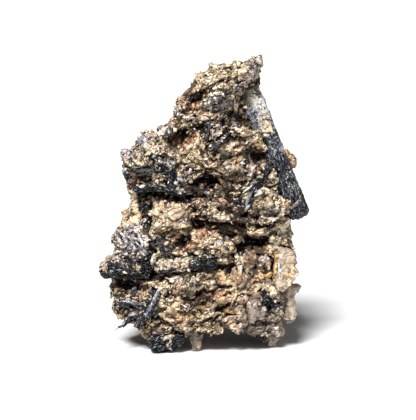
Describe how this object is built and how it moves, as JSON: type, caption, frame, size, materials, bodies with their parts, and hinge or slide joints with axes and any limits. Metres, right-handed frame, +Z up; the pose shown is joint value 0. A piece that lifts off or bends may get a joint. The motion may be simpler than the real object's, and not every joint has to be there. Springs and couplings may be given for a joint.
{
  "type": "schorl crystal specimen",
  "caption": "Hand-size specimen of black schorl prisms, laths and rods with smoky quartz and feldspar in crumbly iron-stained stone.",
  "frame": {"origin": "on the ground below the middle of the specimen's box", "axes": "+Z up, -Y towards the side with most crystals, +X to the right of that side"},
  "size_m": [0.0624, 0.0358, 0.089],
  "materials": {
    "stone": "crumbly granular crust, iron stained, matt",
    "schorl": "black, vitreous, ridged lengthwise, dusty in places",
    "quartz": "smoky, cloudy, broken",
    "feldspar": "dull cleaved face, stained"
  },
  "bodies": {
    "root": {"feldspar_slab_right": "feldspar", "matrix": "stone", "quartz_block_back": "quartz", "quartz_block_right": "quartz", "quartz_column_right": "quartz", "quartz_foot_right": "quartz", "quartz_point_low": "quartz", "schorl_blade_cross": "schorl", "schorl_blade_low": "schorl", "schorl_foot_left": "schorl", "schorl_foot_right": "schorl", "schorl_knob_left": "schorl", "schorl_knob_shoulder": "schorl", "schorl_knob_upper": "schorl", "schorl_lath_centre": "schorl", "schorl_lath_low": "schorl", "schorl_lath_right": "schorl", "schorl_lath_upper": "schorl", "schorl_needle_low": "schorl", "schorl_prism_back": "schorl", "schorl_prism_right": "schorl", "schorl_prism_side": "schorl", "schorl_rod_back": "schorl", "schorl_rod_left": "schorl", "schorl_rod_middle": "schorl", "schorl_spray_shoulder": "schorl", "schorl_stub_centre": "schorl", "schorl_stub_left": "schorl", "schorl_stub_upper": "schorl"}
  },
  "joints": []
}
